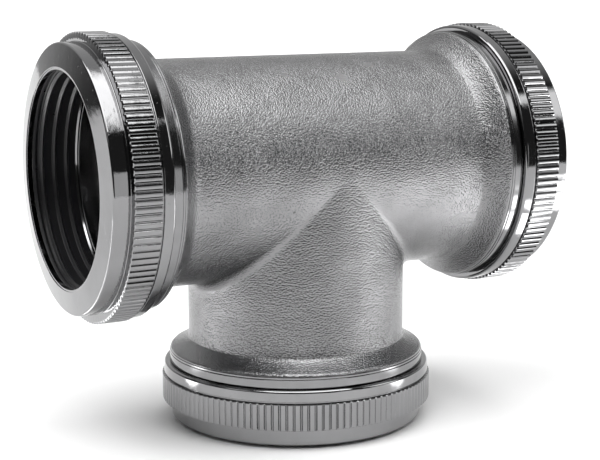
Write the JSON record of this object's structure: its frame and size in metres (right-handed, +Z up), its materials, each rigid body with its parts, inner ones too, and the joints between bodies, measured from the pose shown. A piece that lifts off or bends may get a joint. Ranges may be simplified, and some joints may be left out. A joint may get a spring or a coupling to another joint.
{
  "type": "compression waste tee",
  "caption": "Equal tee for exposed waste pipe: rough-cast chrome-plated body, knurled ring nuts that screw down on ribbed rubber seals at each end.",
  "frame": {"origin": "centre of the branch nut's open face, the plane the tee stands on, at the bottom centre of its box", "axes": "+X along the run, +Z up the branch towards the run, +Y across both"},
  "size_m": [0.0856, 0.0474, 0.0684],
  "materials": {
    "cast_chrome": "chrome plate over rough-cast brass, satin with a fine orange-peel grain",
    "polished_chrome": "chrome plate over turned and polished brass, mirror bright",
    "seal_rubber": "black moulded rubber, slightly glossy",
    "nylon": "dark nylon, smooth"
  },
  "bodies": {
    "tee": {"tee_body": "cast_chrome"},
    "left_packing": {"left_friction_ring": "nylon", "left_seal": "seal_rubber"},
    "left_ring_nut": {"left_nut": "polished_chrome"},
    "right_packing": {"right_friction_ring": "nylon", "right_seal": "seal_rubber"},
    "right_ring_nut": {"right_nut": "polished_chrome"},
    "branch_packing": {"branch_friction_ring": "nylon", "branch_seal": "seal_rubber"},
    "branch_ring_nut": {"branch_nut": "polished_chrome"}
  },
  "joints": [
    {"name": "left_nut_advance", "type": "slide", "parent": "tee", "child": "left_packing", "axis": [-1, 0, 0], "range_m": [-0.0001, 0.0036]},
    {"name": "left_nut_turn", "type": "hinge", "parent": "left_packing", "child": "left_ring_nut", "pos_m": [-0.036, 0, 0.04465], "axis": [-1, 0, 0], "range_deg": [-24, 864]},
    {"name": "right_nut_advance", "type": "slide", "parent": "tee", "child": "right_packing", "axis": [1, 0, 0], "range_m": [-0.0001, 0.0036]},
    {"name": "right_nut_turn", "type": "hinge", "parent": "right_packing", "child": "right_ring_nut", "pos_m": [0.036, 0, 0.04465], "axis": [1, 0, 0], "range_deg": [-24, 864]},
    {"name": "branch_nut_advance", "type": "slide", "parent": "tee", "child": "branch_packing", "axis": [0, 0, -1], "range_m": [-0.0001, 0.0036]},
    {"name": "branch_nut_turn", "type": "hinge", "parent": "branch_packing", "child": "branch_ring_nut", "pos_m": [0, 0, 0.00665], "axis": [0, 0, -1], "range_deg": [-24, 864]}
  ],
  "couplings": [
    {"joint": "left_nut_advance", "follows": "left_nut_turn", "m_per_rad": 0.00023873},
    {"joint": "right_nut_advance", "follows": "right_nut_turn", "m_per_rad": 0.00023873},
    {"joint": "branch_nut_advance", "follows": "branch_nut_turn", "m_per_rad": 0.00023873}
  ]
}
